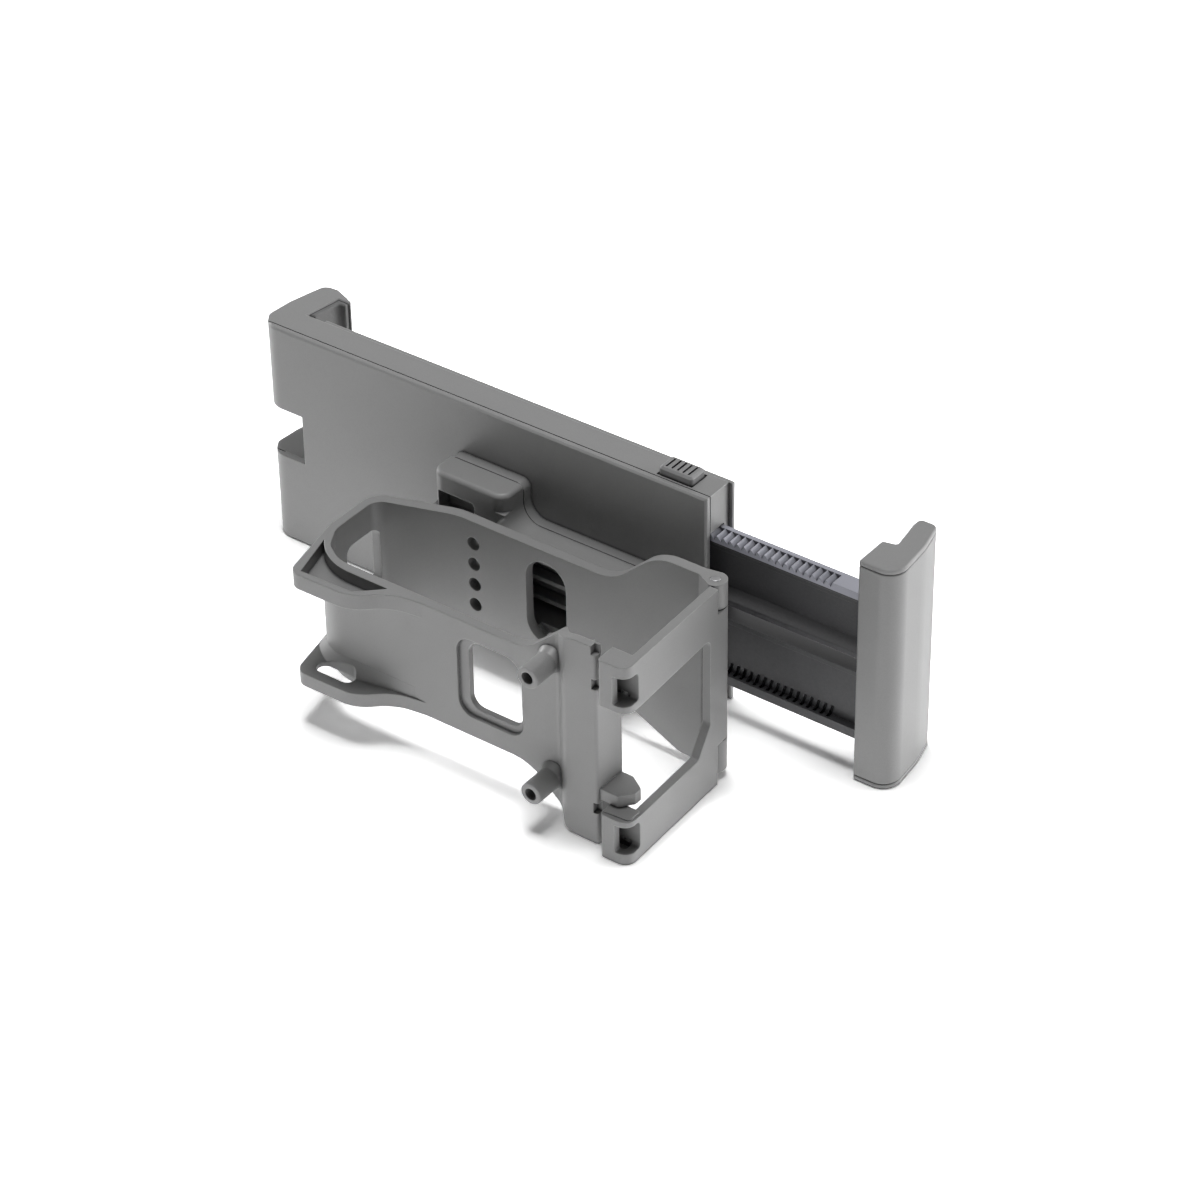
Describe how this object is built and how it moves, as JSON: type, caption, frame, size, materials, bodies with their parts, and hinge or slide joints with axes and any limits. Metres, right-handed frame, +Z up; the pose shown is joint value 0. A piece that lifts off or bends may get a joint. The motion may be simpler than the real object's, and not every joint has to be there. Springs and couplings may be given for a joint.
{
  "type": "tablet holder",
  "caption": "Adjustable tablet clamp with a sliding toothed jaw and release button, joined by a bracket to a hinged cage that fits over a handheld flight controller",
  "frame": {"origin": "middle of the clamp's tablet face, the flat back of the tablet plate's support", "axes": "+X along the clamp towards the sliding jaw, +Y out of the tablet face, away from the controller cage, +Z up across the clamp"},
  "size_m": [0.1962, 0.0861, 0.068],
  "materials": {
    "body_grey": "fine matte mid grey moulding",
    "button_grey": "matte dark grey moulding",
    "rail_dark": "satin charcoal glass filled moulding",
    "pad_rubber": "soft matte grey",
    "steel": "bright wire and pin",
    "screw_steel": "black zinc"
  },
  "bodies": {
    "holder": {"front_cover": "body_grey", "rear_shell": "body_grey", "tablet_plate": "body_grey", "left_pad_upper": "pad_rubber", "left_pad_lower": "pad_rubber", "lever_pin": "steel", "cover_screws": "screw_steel", "bracket_rear": "body_grey", "bracket_screws": "screw_steel", "bracket_front": "body_grey", "cage_frame": "body_grey", "cage_screws": "screw_steel", "hinge_pin": "steel", "button_spring": "steel"},
    "jaw": {"sliding_rail": "rail_dark", "right_jaw": "body_grey", "jaw_cap_top": "body_grey", "jaw_cap_bottom": "body_grey", "right_pad": "pad_rubber"},
    "button": {"release_button": "button_grey"},
    "lever": {"pawl_lever": "rail_dark"},
    "door": {"cage_door": "body_grey"}
  },
  "joints": [
    {"name": "jaw_slide", "type": "slide", "parent": "holder", "child": "jaw", "axis": [1, 0, 0], "range_m": [-0.0424, 0.037]},
    {"name": "button_press", "type": "slide", "parent": "holder", "child": "button", "axis": [0, 0, 1], "range_m": [-0.0015, 0], "stiffness_N_per_m": 900, "springref_m": 0.0005, "deforming": ["button_spring"]},
    {"name": "lever_turn", "type": "hinge", "parent": "holder", "child": "lever", "pos_m": [0.0446, -0.00575, 0.02655], "axis": [0, 1, 0], "range_deg": [0, 6.4]},
    {"name": "door_hinge", "type": "hinge", "parent": "holder", "child": "door", "pos_m": [0.084, -0.02785, -0.0035], "axis": [0, 0, 1], "range_deg": [0, 95]}
  ],
  "couplings": [
    {"joint": "lever_turn", "follows": "button_press", "rad_per_m": -69.4}
  ]
}
